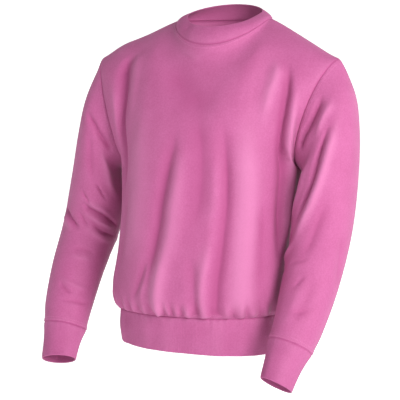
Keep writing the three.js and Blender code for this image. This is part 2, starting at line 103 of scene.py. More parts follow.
# %% Rings of the sleeves and cuffs: in x, in z, out x, out z, y, half depth, swing
SLEEVE_RINGS = {
    "left": [
        (180, -310, 280, -142, -11, 70, 0),
        (173, -342, 293, -211, -18, 74, 0),
        (166, -384, 295, -306, -26, 74, 0),
        (160, -438, 284, -421, -28, 66, 10),
        (151, -519, 264, -529, -48, 56, 22),
        (149, -598, 243, -618, -90, 49, 28),
        (146, -634, 230, -654, -111, 43, 28),
    ],
    "right": [
        (-229, -310, -298, -148, -8, 70, 0),
        (-226, -341, -318, -221, -6, 74, 0),
        (-226, -382, -341, -321, 0, 72, 0),
        (-247, -446, -366, -431, 2, 64, 8),
        (-270, -530, -380, -526, -28, 56, 20),
        (-280, -609, -378, -604, -66, 49, 24),
        (-283, -646, -371, -643, -83, 44, 24),
    ],
}
CUFF_RINGS = {
    "left": [(145, -670, 214, -689, -131, 38, 28), (142, -706, 203, -724, -150, 36, 28)],
    "right": [(-287, -674, -364, -679, -101, 38, 24), (-288, -703, -360, -714, -118, 36, 24)],
}
SLEEVE_GIRTH = 1.15
SLEEVE_LENGTH = 560
print("A sleeve is cut", round(SLEEVE_GIRTH * 360), "mm wide and", SLEEVE_LENGTH, "mm long")

# %% [markdown]
# From measures to points
#
# One helper runs a smooth curve through a table, as a flexible ruler would. The others give points of the
# plain form: the body's rings, the neck loops, the armholes and the sleeve rings. They work on whole grids of
# places at once, which keeps the script quick.


# %% Smooth curves through a table
def mix(a, b, share):
    return a + (b - a) * share


def ease(value):
    value = np.clip(value, 0, 1)
    return value**2 * (3 - 2 * value)


def follow(places, values, at):
    places, values, at = np.asarray(places, float), np.asarray(values, float), np.asarray(at, float)
    last = len(places) - 1
    order = np.arange(last + 1)
    before, after = np.maximum(order - 1, 0), np.minimum(order + 1, last)
    slope = (values[after] - values[before]) / (places[after] - places[before])[:, None]
    i = np.clip(np.searchsorted(places, at) - 1, 0, last - 1)
    span = (places[i + 1] - places[i])[:, None]
    t = (at - places[i])[:, None] / span
    return (
        values[i] * (2 * t**3 - 3 * t**2 + 1)
        + slope[i] * span * (t**3 - 2 * t**2 + t)
        + values[i + 1] * (3 * t**2 - 2 * t**3)
        + slope[i + 1] * span * (t**3 - t**2)
    )


# %% Points of rings, neck loops and armholes
def ring_point(table, height, turn):
    height, turn = np.broadcast_arrays(np.asarray(height, float), np.asarray(turn, float))
    rows = follow(table[:, 0], table[:, 1:], height.ravel()).reshape(*height.shape, 5)
    aside, back, half, front, behind = np.moveaxis(rows, -1, 0)
    sine, cosine = np.sin(np.radians(turn)), np.cos(np.radians(turn))
    power = 2 / RING_SQUARENESS
    depth = np.where(cosine > 0, -front, behind)
    x = aside + half * np.sign(sine) * np.abs(sine) ** power
    return np.stack([x, back + depth * np.abs(cosine) ** power, height], -1)


def neck_point(loop, turn):
    sine, cosine = np.sin(np.radians(turn)), np.cos(np.radians(turn))
    reach = np.where(cosine > 0, loop["front"], loop["behind"])
    centre = np.where(cosine > 0, loop["low"], loop["high"])
    x = loop["aside"] + loop["half"] * sine
    z = mix(loop["side"], centre, np.abs(cosine) ** loop["curl"]) + loop["tilt"] * sine
    return np.stack([x, loop["back"] - reach * cosine, z], -1)


def armhole_point(hole, is_front, share):
    share = np.asarray(share, float)
    bow, climb = np.sin(np.pi * share), (1 - np.cos(np.pi * share)) / 2
    made = mix(np.array(hole["pit"], float), np.array(hole["tip"], float), climb[..., None])
    made[..., 0] -= hole["side"] * hole["inset"] * bow
    made[..., 1] += np.where(is_front, hole["front"], hole["behind"]) * bow
    return made


# %% The upper edge of a panel, and the body's form below it
def upper_edge(is_front, across):
    turn = 90 * np.clip(across / NECK_SHARE, -1, 1)
    neck = neck_point(NECK_SEAM, turn if is_front else 180 - turn)
    share = np.clip((np.abs(across) - NECK_SHARE) / (1 - NECK_SHARE), 0, 1)[..., None]
    tip = np.where((across > 0)[..., None], LEFT_HOLE["tip"], RIGHT_HOLE["tip"])
    made = mix(neck, tip, share)
    bow = np.where(across > 0, LEFT_HOLE["bow"], RIGHT_HOLE["bow"])
    made[..., 2] += bow * np.sin(np.pi * share[..., 0] ** 0.45)
    return made


def soft_edge(is_front, across, share):
    spread = 0.16 * (1 - np.abs(across)) * ease((1 - share) * 3.5)
    return sum(upper_edge(is_front, across + spread * step) for step in (-2, -1, 0, 1, 2)) / 5


def body_point(is_front, across, height):
    across, height = np.broadcast_arrays(across, height)
    turn = 90 * across if is_front else 180 - 90 * across
    outward = np.abs(across)
    side_share = ease((outward - 0.45) / 0.55)[..., None]
    on_left = (across > 0)[..., None]
    below = ring_point(TORSO, np.minimum(height, ARMPIT), turn)
    side_turn = np.where(across > 0, 90.0, -90.0)
    side = ring_point(TORSO, np.full(across.shape, float(ARMPIT)), side_turn)
    pit = np.where(on_left, LEFT_HOLE["pit"], RIGHT_HOLE["pit"])
    near = np.exp(-(((np.minimum(height, ARMPIT) - ARMPIT) / UNDERARM_FLARE) ** 2))
    below[..., 0] += (pit - side)[..., 0] * near * side_share[..., 0]
    swell = SIDE_SWELL * np.exp(-(((height - SWELL_HEIGHT) / SWELL_REACH) ** 2))
    below[..., 0] += swell * (side_share * on_left)[..., 0]
    share = np.clip(1 - height / ARMPIT, 0, 1)
    rounding = ease((outward - 0.05) / 0.5)
    inward = mix(share**1.7, 1 - np.cos(share * np.pi / 2), rounding)
    upward = mix(share, np.sin(share * np.pi / 2), rounding)
    ways = np.stack([share**1.5, inward, upward], -1)
    tip = np.where(on_left, LEFT_HOLE["tip"], RIGHT_HOLE["tip"])
    chest = ring_point(TORSO, np.full(across.shape, float(ARMPIT)), turn)
    made = mix(chest, soft_edge(is_front, across, share), ways)
    left_hole = armhole_point(LEFT_HOLE, is_front, share)
    hole = np.where(on_left, left_hole, armhole_point(RIGHT_HOLE, is_front, share))
    above = made + (hole - mix(side, tip, ways)) * side_share
    return np.where((height <= ARMPIT)[..., None], below, above)


# %% Points of the sleeves and cuffs
def limb_point(ring, turn):
    in_x, in_z, out_x, out_z, y, fore, swing = ring
    cosine, ahead = np.cos(np.radians(turn)), fore * np.sin(np.radians(turn))
    x = (in_x + out_x) / 2 + (in_x - out_x) / 2 * cosine
    z = (in_z + out_z) / 2 + (in_z - out_z) / 2 * cosine + ahead * math.sin(math.radians(swing))
    return np.stack([x, y - ahead * math.cos(math.radians(swing)), z], -1)


def limb_grid(first, rings, turns, shares):
    made = np.empty((len(shares), len(turns), 3))
    for j, turn in enumerate(turns):
        line = np.array([first[j]] + [limb_point(ring, turn) for ring in rings])
        run = np.concatenate([[0], np.cumsum(np.linalg.norm(np.diff(line, axis=0), axis=1))])
        made[:, j] = follow(run, line, run[-1] * np.asarray(shares))
    return made


def sleeve_grid(side, turns, shares):
    hole = LEFT_HOLE if side == "left" else RIGHT_HOLE
    share = np.where(turns <= 180, turns / 180, (360 - turns) / 180)
    return limb_grid(armhole_point(hole, turns <= 180, share), SLEEVE_RINGS[side], turns, shares)


def cuff_grid(side, turns, shares):
    first = limb_point(SLEEVE_RINGS[side][-1], turns)
    return limb_grid(first, CUFF_RINGS[side], turns, shares)


# %% [markdown]
# Grids that are finer along the seams
#
# Cloth dips into its seams over two or three millimetres, while the rest of it bends slowly. So the rows of a
# grid stand close together by the seams, and about three millimetres apart elsewhere. A grid subdivided as a
# whole would need far too many faces for the same seam.


# %% Places along a length, as shares of it
NEAR_SEAM = np.array([0, 0.7, 1.5, 2.4, 3.5, 4.8, 6.4, 8.4])


def shares_of(length, step, fine_start=True, fine_end=True):
    start = NEAR_SEAM if fine_start else NEAR_SEAM[:1]
    end = NEAR_SEAM if fine_end else NEAR_SEAM[:1]
    count = max(2, round((length - start[-1] - end[-1]) / step) + 1)
    middle = np.linspace(start[-1], length - end[-1], count)
    return np.concatenate([start[:-1], middle, length - end[-2::-1]]) / length


def panel_places(step):
    across = 2 * shares_of(2 * PANEL_HALF, step) - 1
    for corner in (-NECK_SHARE, NECK_SHARE):
        across[np.argmin(np.abs(across - corner))] = corner
    low = TORSO[0, 0]
    below = low + (ARMPIT - low) * shares_of(ARMPIT - low, step, fine_end=False)
    above = ARMPIT * (1 - shares_of(-ARMPIT * 1.1, step, fine_start=False))
    return across, np.concatenate([below, above[1:]])


# %% Directions and distances on a grid of points
def unit(vectors):
    return vectors / np.maximum(np.linalg.norm(vectors, axis=-1, keepdims=True), 1e-9)


def outward_of(points, wraps):
    if wraps:
        ring = points[:, :-1]
        along = np.roll(ring, -1, 1) - np.roll(ring, 1, 1)
        along = np.concatenate([along, along[:, :1]], 1)
    else:
        along = np.gradient(points, axis=1)
    return unit(np.cross(along, np.gradient(points, axis=0)))


def distance_up(points):
    steps = np.linalg.norm(np.diff(points, axis=0), axis=-1)
    return np.concatenate([np.zeros((1, points.shape[1])), np.cumsum(steps, axis=0)])


def distance_across(points):
    return distance_up(points.transpose(1, 0, 2)).T


# %% [markdown]
# Folds, placed one by one
#
# Heavy fleece makes few folds, and soft ones. Each is drawn as a smooth line over the cut cloth through a few
# places, with a half width and a rise. On the front they are placed by the photograph. A crease has a negative
# rise, and a roll stands up softly. A cloth simulation could make folds too, but it would not put them where
# they are, and it would change with the smallest edit.


# %% The height of the folds at each place of a piece
def fold_line(path):
    path = np.array(path, float)
    run = np.concatenate([[0], np.cumsum(np.linalg.norm(np.diff(path, axis=0), axis=1))])
    return follow(run, path, np.linspace(0, run[-1], 9 if len(path) == 2 else 17))


def fold_rise(folds, across, along):
    rise = np.zeros(across.shape)
    for path, width, height, lean, fades in folds:
        line = fold_line(path)
        lengths = np.linalg.norm(np.diff(line, axis=0), axis=1)
        starts = np.concatenate([[0], np.cumsum(lengths)])
        reach = 4 * width
        near = (
            (across > line[:, 0].min() - reach) & (across < line[:, 0].max() + reach)
            & (along > line[:, 1].min() - reach) & (along < line[:, 1].max() + reach)
        )
        x, y = across[near], along[near]
        best = np.full(x.shape, 1e9)
        side, share = np.zeros(x.shape), np.zeros(x.shape)
        for (ax, ay), (bx, by), length, start in zip(line[:-1], line[1:], lengths, starts):
            dx, dy = (bx - ax) / length, (by - ay) / length
            t = np.clip((x - ax) * dx + (y - ay) * dy, 0, length)
            off = np.hypot(x - ax - t * dx, y - ay - t * dy)
            closer = off < best
            best = np.where(closer, off, best)
            side = np.where(closer, (x - ax) * dy - (y - ay) * dx, side)
            share = np.where(closer, (start + t) / starts[-1], share)
        spread = width * (1 + lean * np.sign(side))
        sharp = 2 if height > 0 else 1.6
        shape = np.exp(-((best / spread) ** sharp))
        ends = ease(share / max(fades[0], 1e-3)) * ease((1 - share) / max(fades[1], 1e-3))
        rise[near] += height * shape * ends
    return rise


# %% [markdown]
# Folds of the front
#
# Places are millimetres across the cut panel, from its centre to the wearer's left, and heights. The main
# ones are the two long creases beside the armholes, the hollow that hangs from the chest to the hem, and the
# small gathers where the wide body is sewn to the shorter hem band. Each row ends with its lean to one side
# and how soon it fades at its two ends.

# %% Front folds: path, half width, rise, lean, fades
BOTH = (0.35, 0.35)
FRONT_FOLDS = [
    ([(-204, -84), (-191, -165), (-196, -227), (-177, -290), (-170, -380)], 16, -11, 0.2, (0.12, 0.4)),
    ([(-240, -90), (-228, -165), (-212, -250), (-204, -320)], 15, 3.5, 0, BOTH),
    ([(-172, -100), (-158, -150), (-150, -205), (-142, -265)], 17, 2.8, 0, (0.2, 0.5)),
    ([(-14, -190), (-21, -256), (-31, -325), (-34, -400), (-42, -476), (-56, -546)], 11, -8, 0.15,
     (0.35, 0.25)),
    ([(4, -205), (0, -256), (-7, -339), (-9, -428), (-21, -500), (-27, -592)], 13, 6, 0, (0.4, 0.05)),
    ([(-14, -460), (-28, -536), (-26, -592)], 11, 3.5, 0, (0.5, 0.02)),
    ([(-80, -92), (-16, -124), (40, -190)], 28, -4.5, 0, BOTH),
    ([(2, -150), (30, -250), (34, -350), (22, -460)], 18, -5.5, 0.1, (0.3, 0.4)),
    ([(60, -250), (66, -350), (62, -440)], 14, 3.5, 0, BOTH),
    ([(20, -450), (34, -510), (38, -592)], 9, -3.8, 0.1, (0.5, 0.02)),
    ([(72, -400), (57, -480), (51, -535), (55, -594)], 12, 6, 0.1, (0.5, 0.02)),
    ([(62, -190), (82, -270), (91, -370), (89, -455), (82, -525), (78, -594)], 15, -8.5, 0.2, (0.3, 0.02)),
    ([(112, -190), (132, -300), (140, -400), (138, -500), (134, -594)], 30, 9, 0, (0.35, 0.1)),
    ([(204, -96), (224, -150), (229, -205), (229, -290), (233, -362), (240, -426), (244, -520)], 15, -12, 0.3,
     (0.12, 0.3)),
    ([(190, -110), (176, -179), (154, -250)], 16, 6.5, 0, (0.2, 0.5)),
    ([(238, -106), (257, -170), (257, -280), (259, -360), (263, -500)], 15, 9, 0, (0.2, 0.3)),
    ([(-34, -56), (-30, -40), (2, -50)], 14, 1.6, 0, BOTH),
    ([(-104, -170), (-106, -300), (-98, -400), (-96, -520)], 34, 4.5, 0, BOTH),
    ([(-56, -470), (-68, -530), (-92, -578)], 8, -3.5, 0.1, BOTH),
    ([(-140, -300), (-142, -420), (-152, -560)], 18, -3, 0.2, BOTH),
    ([(-226, -330), (-214, -430), (-206, -540)], 24, -5, 0, BOTH),
    ([(-47, -478), (-53, -522), (-66, -572)], 7, 2.6, 0.2, BOTH),
    ([(172, -330), (186, -420), (190, -560)], 18, -4, 0, BOTH),
]
FRONT_GATHERS = [
    (-29, 5, 3.2), (-17, 4.5, -3), (-10, 4, 2.4), (-4, 4, -2.8), (3, 4, 2.4), (10, 4.5, -3.2), (22, 6, 3.2),
    (39, 6, -3), (70, 6, -1.6), (104, 8, 2), (118, 7, -2.4), (138, 8, 2.2),
    (152, 6, -2.6), (170, 8, 1.8), (190, 9, -3.2), (212, 9, 2.4), (230, 8, -2.2), (252, 9, 2),
    (-46, 6, -2.4), (-62, 7, 2.2), (-80, 7, -2.8), (-96, 6, 2), (-110, 6, -3.2), (-126, 8, 2.2),
    (-146, 8, -2.8), (-170, 9, 2.4), (-188, 7, -2.4), (-206, 9, 2.4), (-228, 9, -2.8), (-250, 9, 2),
]


def gathers(table, low, tall, slant=0.05):
    folds = []
    for i, (at, width, rise) in enumerate(table):
        top = low + tall * (0.7 + 0.1 * (i * 7 % 5))
        folds.append(([(at * (1 - slant), top), (at, low)], width, 1.4 * rise, 0, (0.8, 0.02)))
    return folds


print(len(FRONT_FOLDS), "folds and", len(FRONT_GATHERS), "gathers on the front")

# %% [markdown]
# Folds of the back and sleeves
#
# The photograph doesn't show the back, so it gets what such a back has: creases beside the armholes, shallow
# rolls over the shoulder blades, and a blouse above the hem band with its gathers. On a sleeve a place is a
# turn in degrees from the underarm over the front, and a share of the way down to the cuff.

# %% Back and sleeve folds
BACK_FOLDS = [
    ([(-196, -96), (-188, -220), (-160, -400)], 12, -8, 0.1, (0.15, 0.45)),
    ([(200, -96), (196, -230), (186, -430)], 12, -8, -0.1, (0.15, 0.45)),
    ([(-226, -130), (-218, -240), (-204, -380)], 16, 5, 0, BOTH),
    ([(232, -130), (230, -250), (222, -400)], 16, 5, 0, BOTH),
    ([(-120, -80), (-112, -160), (-104, -260)], 48, 5, 0, BOTH),
    ([(122, -80), (116, -160), (108, -260)], 48, 5, 0, BOTH),
    ([(-20, -330), (-6, -450), (10, -570)], 46, -7, 0, BOTH),
    ([(-92, -320), (-96, -450), (-106, -594)], 26, 6, 0, (0.4, 0.1)),
    ([(84, -330), (86, -450), (96, -594)], 26, 6, 0, (0.4, 0.1)),
    ([(-60, -44), (4, -70), (66, -46)], 18, -2.5, 0, BOTH),
    ([(-150, -470), (-60, -506), (20, -498)], 16, -3.5, 0.2, BOTH),
    ([(-30, -452), (70, -480), (160, -446)], 16, -3.5, -0.2, BOTH),
    ([(-130, -520), (-30, -546), (50, -536)], 14, 3, 0, BOTH),
    ([(-52, -250), (-50, -390), (-58, -560)], 16, -3, 0.2, BOTH),
    ([(44, -240), (52, -390), (46, -560)], 16, -3, -0.2, BOTH),
    ([(150, -300), (158, -430), (152, -560)], 16, -3, 0, BOTH),
]
BACK_GATHERS = [
    (x + (7 if i % 3 == 1 else -4), 6 + i % 4, (2.2 + 0.3 * (i % 3)) * (1 if i % 2 else -1))
    for i, x in enumerate(range(-262, 270, 17))
]


def on_sleeve(folds):
    return [
        ([(SLEEVE_GIRTH * turn, SLEEVE_LENGTH * share) for turn, share in path], *rest)
        for path, *rest in folds
    ]


LEFT_SLEEVE_FOLDS = on_sleeve([
    ([(124, 0.042), (107, 0.05), (92, 0.05), (74, 0.038), (56, 0.03)], 7, -9, 0.2, (0.3, 0.1)),
    ([(134, 0.09), (106, 0.10), (84, 0.12)], 11, 5, 0, BOTH),
    ([(114, 0.13), (101, 0.17), (94, 0.21), (83, 0.30), (65, 0.365), (46, 0.42)], 9, -8.5, 0.1, (0.25, 0.3)),
    ([(128, 0.14), (117, 0.20), (107, 0.27), (98, 0.33), (85, 0.40), (64, 0.48), (54, 0.56)], 15, 8.5, 0,
     (0.25, 0.4)),
    ([(118, 0.42), (102, 0.51), (94, 0.57), (86, 0.66)], 14, -4.5, 0, BOTH),
    ([(50, 0.615), (80, 0.645), (98, 0.66)], 5, -2.2, 0, BOTH),
    ([(78, 0.77), (94, 0.715)], 7, -2.2, 0, BOTH),
    ([(96, 0.72), (88, 0.83), (74, 0.95)], 14, 2, 0, BOTH),
    ([(118, 0.72), (110, 0.83), (98, 0.95)], 14, -2, 0, BOTH),
    ([(150, 0.56), (160, 0.68), (176, 0.78)], 11, -3, 0, BOTH),
    ([(64, 0.10), (52, 0.24), (30, 0.36)], 14, 4, 0, BOTH),
    ([(46, 0.42), (20, 0.47), (-14, 0.45)], 10, -4.5, 0, BOTH),
    ([(58, 0.50), (24, 0.54), (-20, 0.52)], 11, 4, 0, BOTH),
    ([(40, 0.60), (10, 0.62), (-24, 0.59)], 9, -3.5, 0, BOTH),
    ([(240, 0.08), (262, 0.28), (296, 0.50)], 13, -6, 0, BOTH),
    ([(222, 0.12), (246, 0.34), (282, 0.56)], 16, 4.5, 0, BOTH),
    ([(284, 0.44), (310, 0.50), (336, 0.48)], 10, -4, 0, BOTH),
    ([(250, 0.62), (276, 0.70), (306, 0.74)], 11, -3.5, 0, BOTH),
    ([(212, 0.72), (240, 0.80), (276, 0.84)], 10, -2.8, 0, BOTH),
    ([(60, 0.86), (100, 0.88), (140, 0.85)], 8, -2.2, 0, BOTH),
    ([(200, 0.90), (250, 0.91), (300, 0.88)], 8, -2.4, 0, BOTH),
])
RIGHT_SLEEVE_FOLDS = on_sleeve([
    ([(118, 0.13), (94, 0.088), (77, 0.07), (62, 0.052), (42, 0.038)], 6, -6.5, 0.1, (0.3, 0.2)),
    ([(52, 0.06), (46, 0.12), (38, 0.20), (30, 0.27)], 12, 5, 0, BOTH),
    ([(86, 0.10), (84, 0.20), (76, 0.32)], 13, -3.5, 0, BOTH),
    ([(72, 0.292), (58, 0.30), (44, 0.312)], 5, -4.5, 0, BOTH),
    ([(98, 0.405), (84, 0.408), (70, 0.412)], 5, -4, 0, BOTH),
    ([(92, 0.425), (70, 0.405), (46, 0.37), (26, 0.35)], 8, 5, 0, BOTH),
    ([(94, 0.455), (76, 0.44), (62, 0.42), (34, 0.39), (-4, 0.392)], 6, -6.5, 0.1, (0.25, 0.25)),
    ([(88, 0.485), (62, 0.456), (36, 0.43), (6, 0.42)], 7, 4.5, 0, BOTH),
    ([(70, 0.485), (44, 0.48), (22, 0.462), (-10, 0.45)], 5, -5, 0, BOTH),
    ([(96, 0.495), (80, 0.51), (66, 0.515)], 5, -3.4, 0, BOTH),
    ([(82, 0.535), (56, 0.518), (28, 0.50), (0, 0.485)], 9, 3.4, 0, BOTH),
    ([(156, 0.55), (116, 0.56), (98, 0.562), (80, 0.555)], 6, -6, 0, (0.25, 0.3)),
    ([(150, 0.585), (116, 0.59), (96, 0.585)], 8, 3.4, 0, BOTH),
    ([(90, 0.665), (60, 0.622), (34, 0.59)], 5, -3, 0, BOTH),
    ([(92, 0.70), (60, 0.662), (30, 0.625)], 7, 2.2, 0, BOTH),
    ([(98, 0.82), (76, 0.845), (56, 0.852)], 5, -3.6, 0, BOTH),
    ([(100, 0.80), (60, 0.805), (16, 0.785)], 7, 2.4, 0, BOTH),
    ([(92, 0.905), (48, 0.882), (-4, 0.86)], 5, -2.6, 0, BOTH),
    ([(244, 0.08), (266, 0.24), (300, 0.40)], 14, -6, 0, BOTH),
    ([(226, 0.12), (250, 0.32), (288, 0.48)], 16, 4.5, 0, BOTH),
    ([(330, 0.38), (300, 0.46), (262, 0.52)], 9, -4, 0, BOTH),
    ([(336, 0.46), (304, 0.54), (268, 0.60)], 9, 3, 0, BOTH),
    ([(340, 0.55), (306, 0.60), (272, 0.66)], 8, -3.4, 0, BOTH),
    ([(332, 0.70), (292, 0.74), (252, 0.78)], 8, -2.8, 0, BOTH),
    ([(160, 0.50), (190, 0.53), (216, 0.60)], 12, -2.8, 0, BOTH),
    ([(330, 0.86), (286, 0.88), (240, 0.85)], 8, -2.2, 0, BOTH),
])
on_sleeves = len(LEFT_SLEEVE_FOLDS) + len(RIGHT_SLEEVE_FOLDS)
print(len(BACK_FOLDS), "folds on the back,", on_sleeves, "on the sleeves")

# %% [markdown]
# The cloth's finish
#
# Outside, sweatshirt fleece is a fine jersey knit with a soft, matt face. Inside it is brushed. Both are one
# dyed pink, with small clouds of lighter and darker fibre. Light and shade are painted in as well: a painted
# highlight on the crests of folds, and painted shade in hollows and seams. Procedural nodes suit this better
# than an image: the knit follows the cut cloth through its UV map, in metres, and the fibre clouds come from
# the object's own coordinates.


# %% A material from plain nodes
def new_material(name, roughness, sheen, sheen_tint):
    material = bpy.data.materials.new(name)
    material.use_nodes = True
    shader = material.node_tree.nodes["Principled BSDF"]
    shader.inputs["Roughness"].default_value = roughness
    shader.inputs["Sheen Weight"].default_value = sheen
    shader.inputs["Sheen Roughness"].default_value = 0.7
    shader.inputs["Sheen Tint"].default_value = (*sheen_tint, 1)
    shader.inputs["Specular IOR Level"].default_value = 0.3
    return material, material.node_tree, shader


def math_node(tree, operation, a, b=None):
    node = tree.nodes.new("ShaderNodeMath")
    node.operation = operation
    for socket, value in zip(node.inputs, (a, b)):
        if isinstance(value, (int, float)):
            socket.default_value = value
        elif value is not None:
            tree.links.new(value, socket)
    return node.outputs[0]


def noise(tree, scale, detail, coordinates):
    node = tree.nodes.new("ShaderNodeTexNoise")
    node.inputs["Scale"].default_value = scale
    node.inputs["Detail"].default_value = detail
    tree.links.new(coordinates, node.inputs["Vector"])
    return node.outputs["Fac"]


def blend_colours(tree, share, low, high):
    node = tree.nodes.new("ShaderNodeMix")
    node.data_type = "RGBA"
    tree.links.new(share, node.inputs["Factor"])
    for socket, colour in ((node.inputs["A"], low), (node.inputs["B"], high)):
        if isinstance(colour, tuple):
            socket.default_value = (*colour, 1)
        else:
            tree.links.new(colour, socket)
    return node.outputs["Result"]


def stretch(tree, value, low, high, to_low=0.0, to_high=1.0):
    node = tree.nodes.new("ShaderNodeMapRange")
    tree.links.new(value, node.inputs["Value"])
    for name, number in (("From Min", low), ("From Max", high), ("To Min", to_low), ("To Max", to_high)):
        node.inputs[name].default_value = number
    return node.outputs["Result"]


# %% Knit cloth: colour clouds, painted highlights on fold crests, painted shade in creases and seams, and the loops of the knit
def knit_material(name, colour, dark, light, sheen, wale, course, loop_depth, nap_depth):
    material, tree, shader = new_material(name, 0.66, sheen, (1.0, 0.92, 0.97))
    place = tree.nodes.new("ShaderNodeTexCoord").outputs["Object"]
    cut = tree.nodes.new("ShaderNodeUVMap")
    cut.uv_map = "cut"
    apart = tree.nodes.new("ShaderNodeSeparateXYZ")
    tree.links.new(cut.outputs["UV"], apart.inputs["Vector"])
    # This attribute holds fold height less the seam grooves; it drives the painted highlight and the painted
    # shade
    painted_light_mask = tree.nodes.new("ShaderNodeAttribute")
    painted_light_mask.attribute_name = "painted_light_mask"
    clouds = stretch(tree, noise(tree, 26, 3, place), 0.3, 0.7)
    fibres = stretch(tree, noise(tree, 330, 3, place), 0.3, 0.7)
    mottle = math_node(tree, "ADD", math_node(tree, "MULTIPLY", clouds, 0.35),
                       math_node(tree, "MULTIPLY", fibres, 0.65))
    base = blend_colours(tree, mottle, dark, colour)
    # Painted highlight: the crests of folds are blended up to half way towards the lighter colour
    painted_light = stretch(tree, painted_light_mask.outputs["Fac"], 0.0, 1.0, 0.0, 0.5)
    # Painted shade: creases, hollows and seam grooves are blended towards a deeper, darker pink
    painted_shade = stretch(tree, painted_light_mask.outputs["Fac"], 0.0, -1.0, 0.0, 0.6)
    shaded = blend_colours(tree, painted_shade, base, (0.84 * dark[0], 0.5 * dark[1], 0.74 * dark[2]))
    tree.links.new(blend_colours(tree, painted_light, shaded, light), shader.inputs["Base Color"])
    rib = math_node(tree, "ABSOLUTE", math_node(tree, "SINE",
                    math_node(tree, "MULTIPLY", apart.outputs["X"], math.pi / wale)))
    slant = math_node(tree, "MULTIPLY", math_node(tree, "PINGPONG", apart.outputs["X"], wale / 2), 2 / wale)
    climb = math_node(tree, "MULTIPLY", apart.outputs["Y"], 1 / course)
    loops = math_node(tree, "SINE", math_node(tree, "MULTIPLY", math_node(tree, "ADD", climb, slant),
                                              2 * math.pi))
    height = math_node(tree, "ADD", math_node(tree, "MULTIPLY", rib, loop_depth),
                       math_node(tree, "MULTIPLY", loops, loop_depth * 0.35))
    nap = math_node(tree, "MULTIPLY", noise(tree, 900, 3, place), nap_depth)
    soft = math_node(tree, "MULTIPLY", noise(tree, 120, 3, place), nap_depth * 3.2)
    height = math_node(tree, "ADD", math_node(tree, "ADD", height, nap), soft)
    bump = tree.nodes.new("ShaderNodeBump")
    bump.inputs["Strength"].default_value = 0.8
    bump.inputs["Distance"].default_value = 1.0
    tree.links.new(height, bump.inputs["Height"])
    tree.links.new(bump.outputs["Normal"], shader.inputs["Normal"])
    return material


# Each finish: its pink, its darker fibres, and the lighter colour of the painted highlight on fold crests; the
# painted shade is made from the darker fibre colour
FLEECE = knit_material("fleece_face", (0.405, 0.092, 0.236), (0.335, 0.062, 0.182), (0.50, 0.165, 0.327),
                       0.06, 0.0013, 0.0011, 0.00005, 0.00012)
FLEECE_INSIDE = knit_material("fleece_brushed_inside", (0.42, 0.085, 0.23), (0.37, 0.070, 0.20),
                              (0.47, 0.11, 0.27), 0.08, 0.0013, 0.0011, 0.00001, 0.0003)
RIB = knit_material("rib_knit_face", (0.395, 0.089, 0.230), (0.325, 0.060, 0.178), (0.49, 0.158, 0.317),
                    0.06, 0.00125, 0.001, 0.00004, 0.0001)
RIB_INSIDE = knit_material("rib_knit_inside", (0.42, 0.085, 0.23), (0.37, 0.070, 0.20),
                           (0.47, 0.11, 0.27), 0.08, 0.00125, 0.001, 0.00004, 0.0001)
THREAD, _, thread_shader = new_material("sewing_thread", 0.5, 0.1, (1, 1, 1))
thread_shader.inputs["Base Color"].default_value = (0.47, 0.115, 0.275, 1)
print("Materials:", [m.name for m in (FLEECE, FLEECE_INSIDE, RIB, RIB_INSIDE)])

# %% [markdown]
# The padded look of the shoulders
#
# Thick fleece swells a few millimetres beside the end of a shoulder seam. All the pieces that meet there are
# pushed out by one soft bump in space, so their shared seam lines stay together.

# %% Swelling the shoulders
SWELLS = [  # centre, reach and push, in millimetres
    ((-215, -12, -62), 40, (-1.6, 0, 5.6)),
    ((262, -10, -98), 28, (3.4, 0, 2.8)),
]


def swollen(points):
    for centre, reach, push in SWELLS:
        away = np.linalg.norm(points - np.array(centre), axis=-1, keepdims=True)
        points = points + np.exp(-((away / reach) ** 2)) * np.array(push)
    return points


# %% [markdown]
# From points to a piece of cloth
#
# Each piece starts as Blender's own grid. Its points are then moved to the form, its UV map is set to the
# cut cloth in metres, and a tube's two long edges are merged. The Solidify modifier gives it the cloth's
# thickness on the inside, with a second material there. Setting the points from arrays is quick and exact,
# where a shrinkwrap would only come near the form.


# %% One piece of cloth, as a thin shell
FLEECE_WALL, RIB_WALL = 2.2, 2.0


def cloth(name, points, cut, painted_light_mask, wraps, wall, face, inside):
    rows, columns = points.shape[:2]
    bpy.ops.object.select_all(action="DESELECT")
    bpy.ops.mesh.primitive_grid_add(x_subdivisions=columns - 1, y_subdivisions=rows - 1, size=2)
    piece = bpy.context.object
    piece.name = piece.data.name = name
    mesh = piece.data
    flat = np.empty(3 * len(mesh.vertices))
    mesh.vertices.foreach_get("co", flat)
    flat = flat.reshape(-1, 3)
    column = np.rint((flat[:, 0] + 1) / 2 * (columns - 1)).astype(int)
    row = np.rint((flat[:, 1] + 1) / 2 * (rows - 1)).astype(int)
    mesh.vertices.foreach_set("co", (swollen(points)[row, column] * MM).ravel())
    corner = np.empty(len(mesh.loops), int)
    mesh.loops.foreach_get("vertex_index", corner)
    layer = mesh.uv_layers[0]
    layer.name = "cut"
    layer.data.foreach_set("uv", cut[row[corner], column[corner]].ravel())
    # Store fold height less the seam grooves, which the materials turn into painted highlight and painted
    # shade
    painted_light = mesh.attributes.new("painted_light_mask", "FLOAT", "POINT")
    painted_light.data.foreach_set("value", np.clip(painted_light_mask[row, column], -1, 1))
    mesh.update()
    if wraps:
        bpy.ops.object.mode_set(mode="EDIT")
        bpy.ops.mesh.select_all(action="SELECT")
        bpy.ops.mesh.remove_doubles(threshold=0.00002)
        bpy.ops.object.mode_set(mode="OBJECT")
    mesh.materials.append(face)
    mesh.materials.append(inside)
    shell = piece.modifiers.new("wall", "SOLIDIFY")
    shell.thickness, shell.offset = wall * MM, -1
    shell.material_offset = 1
    bpy.ops.object.modifier_apply(modifier=shell.name)
    bpy.ops.object.shade_smooth_by_angle(angle=math.radians(50))
    print(f"{name}: {len(piece.data.polygons) * 2} triangles")
    return piece


def claim(piece, node):
    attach(piece, "root")
    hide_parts(node)


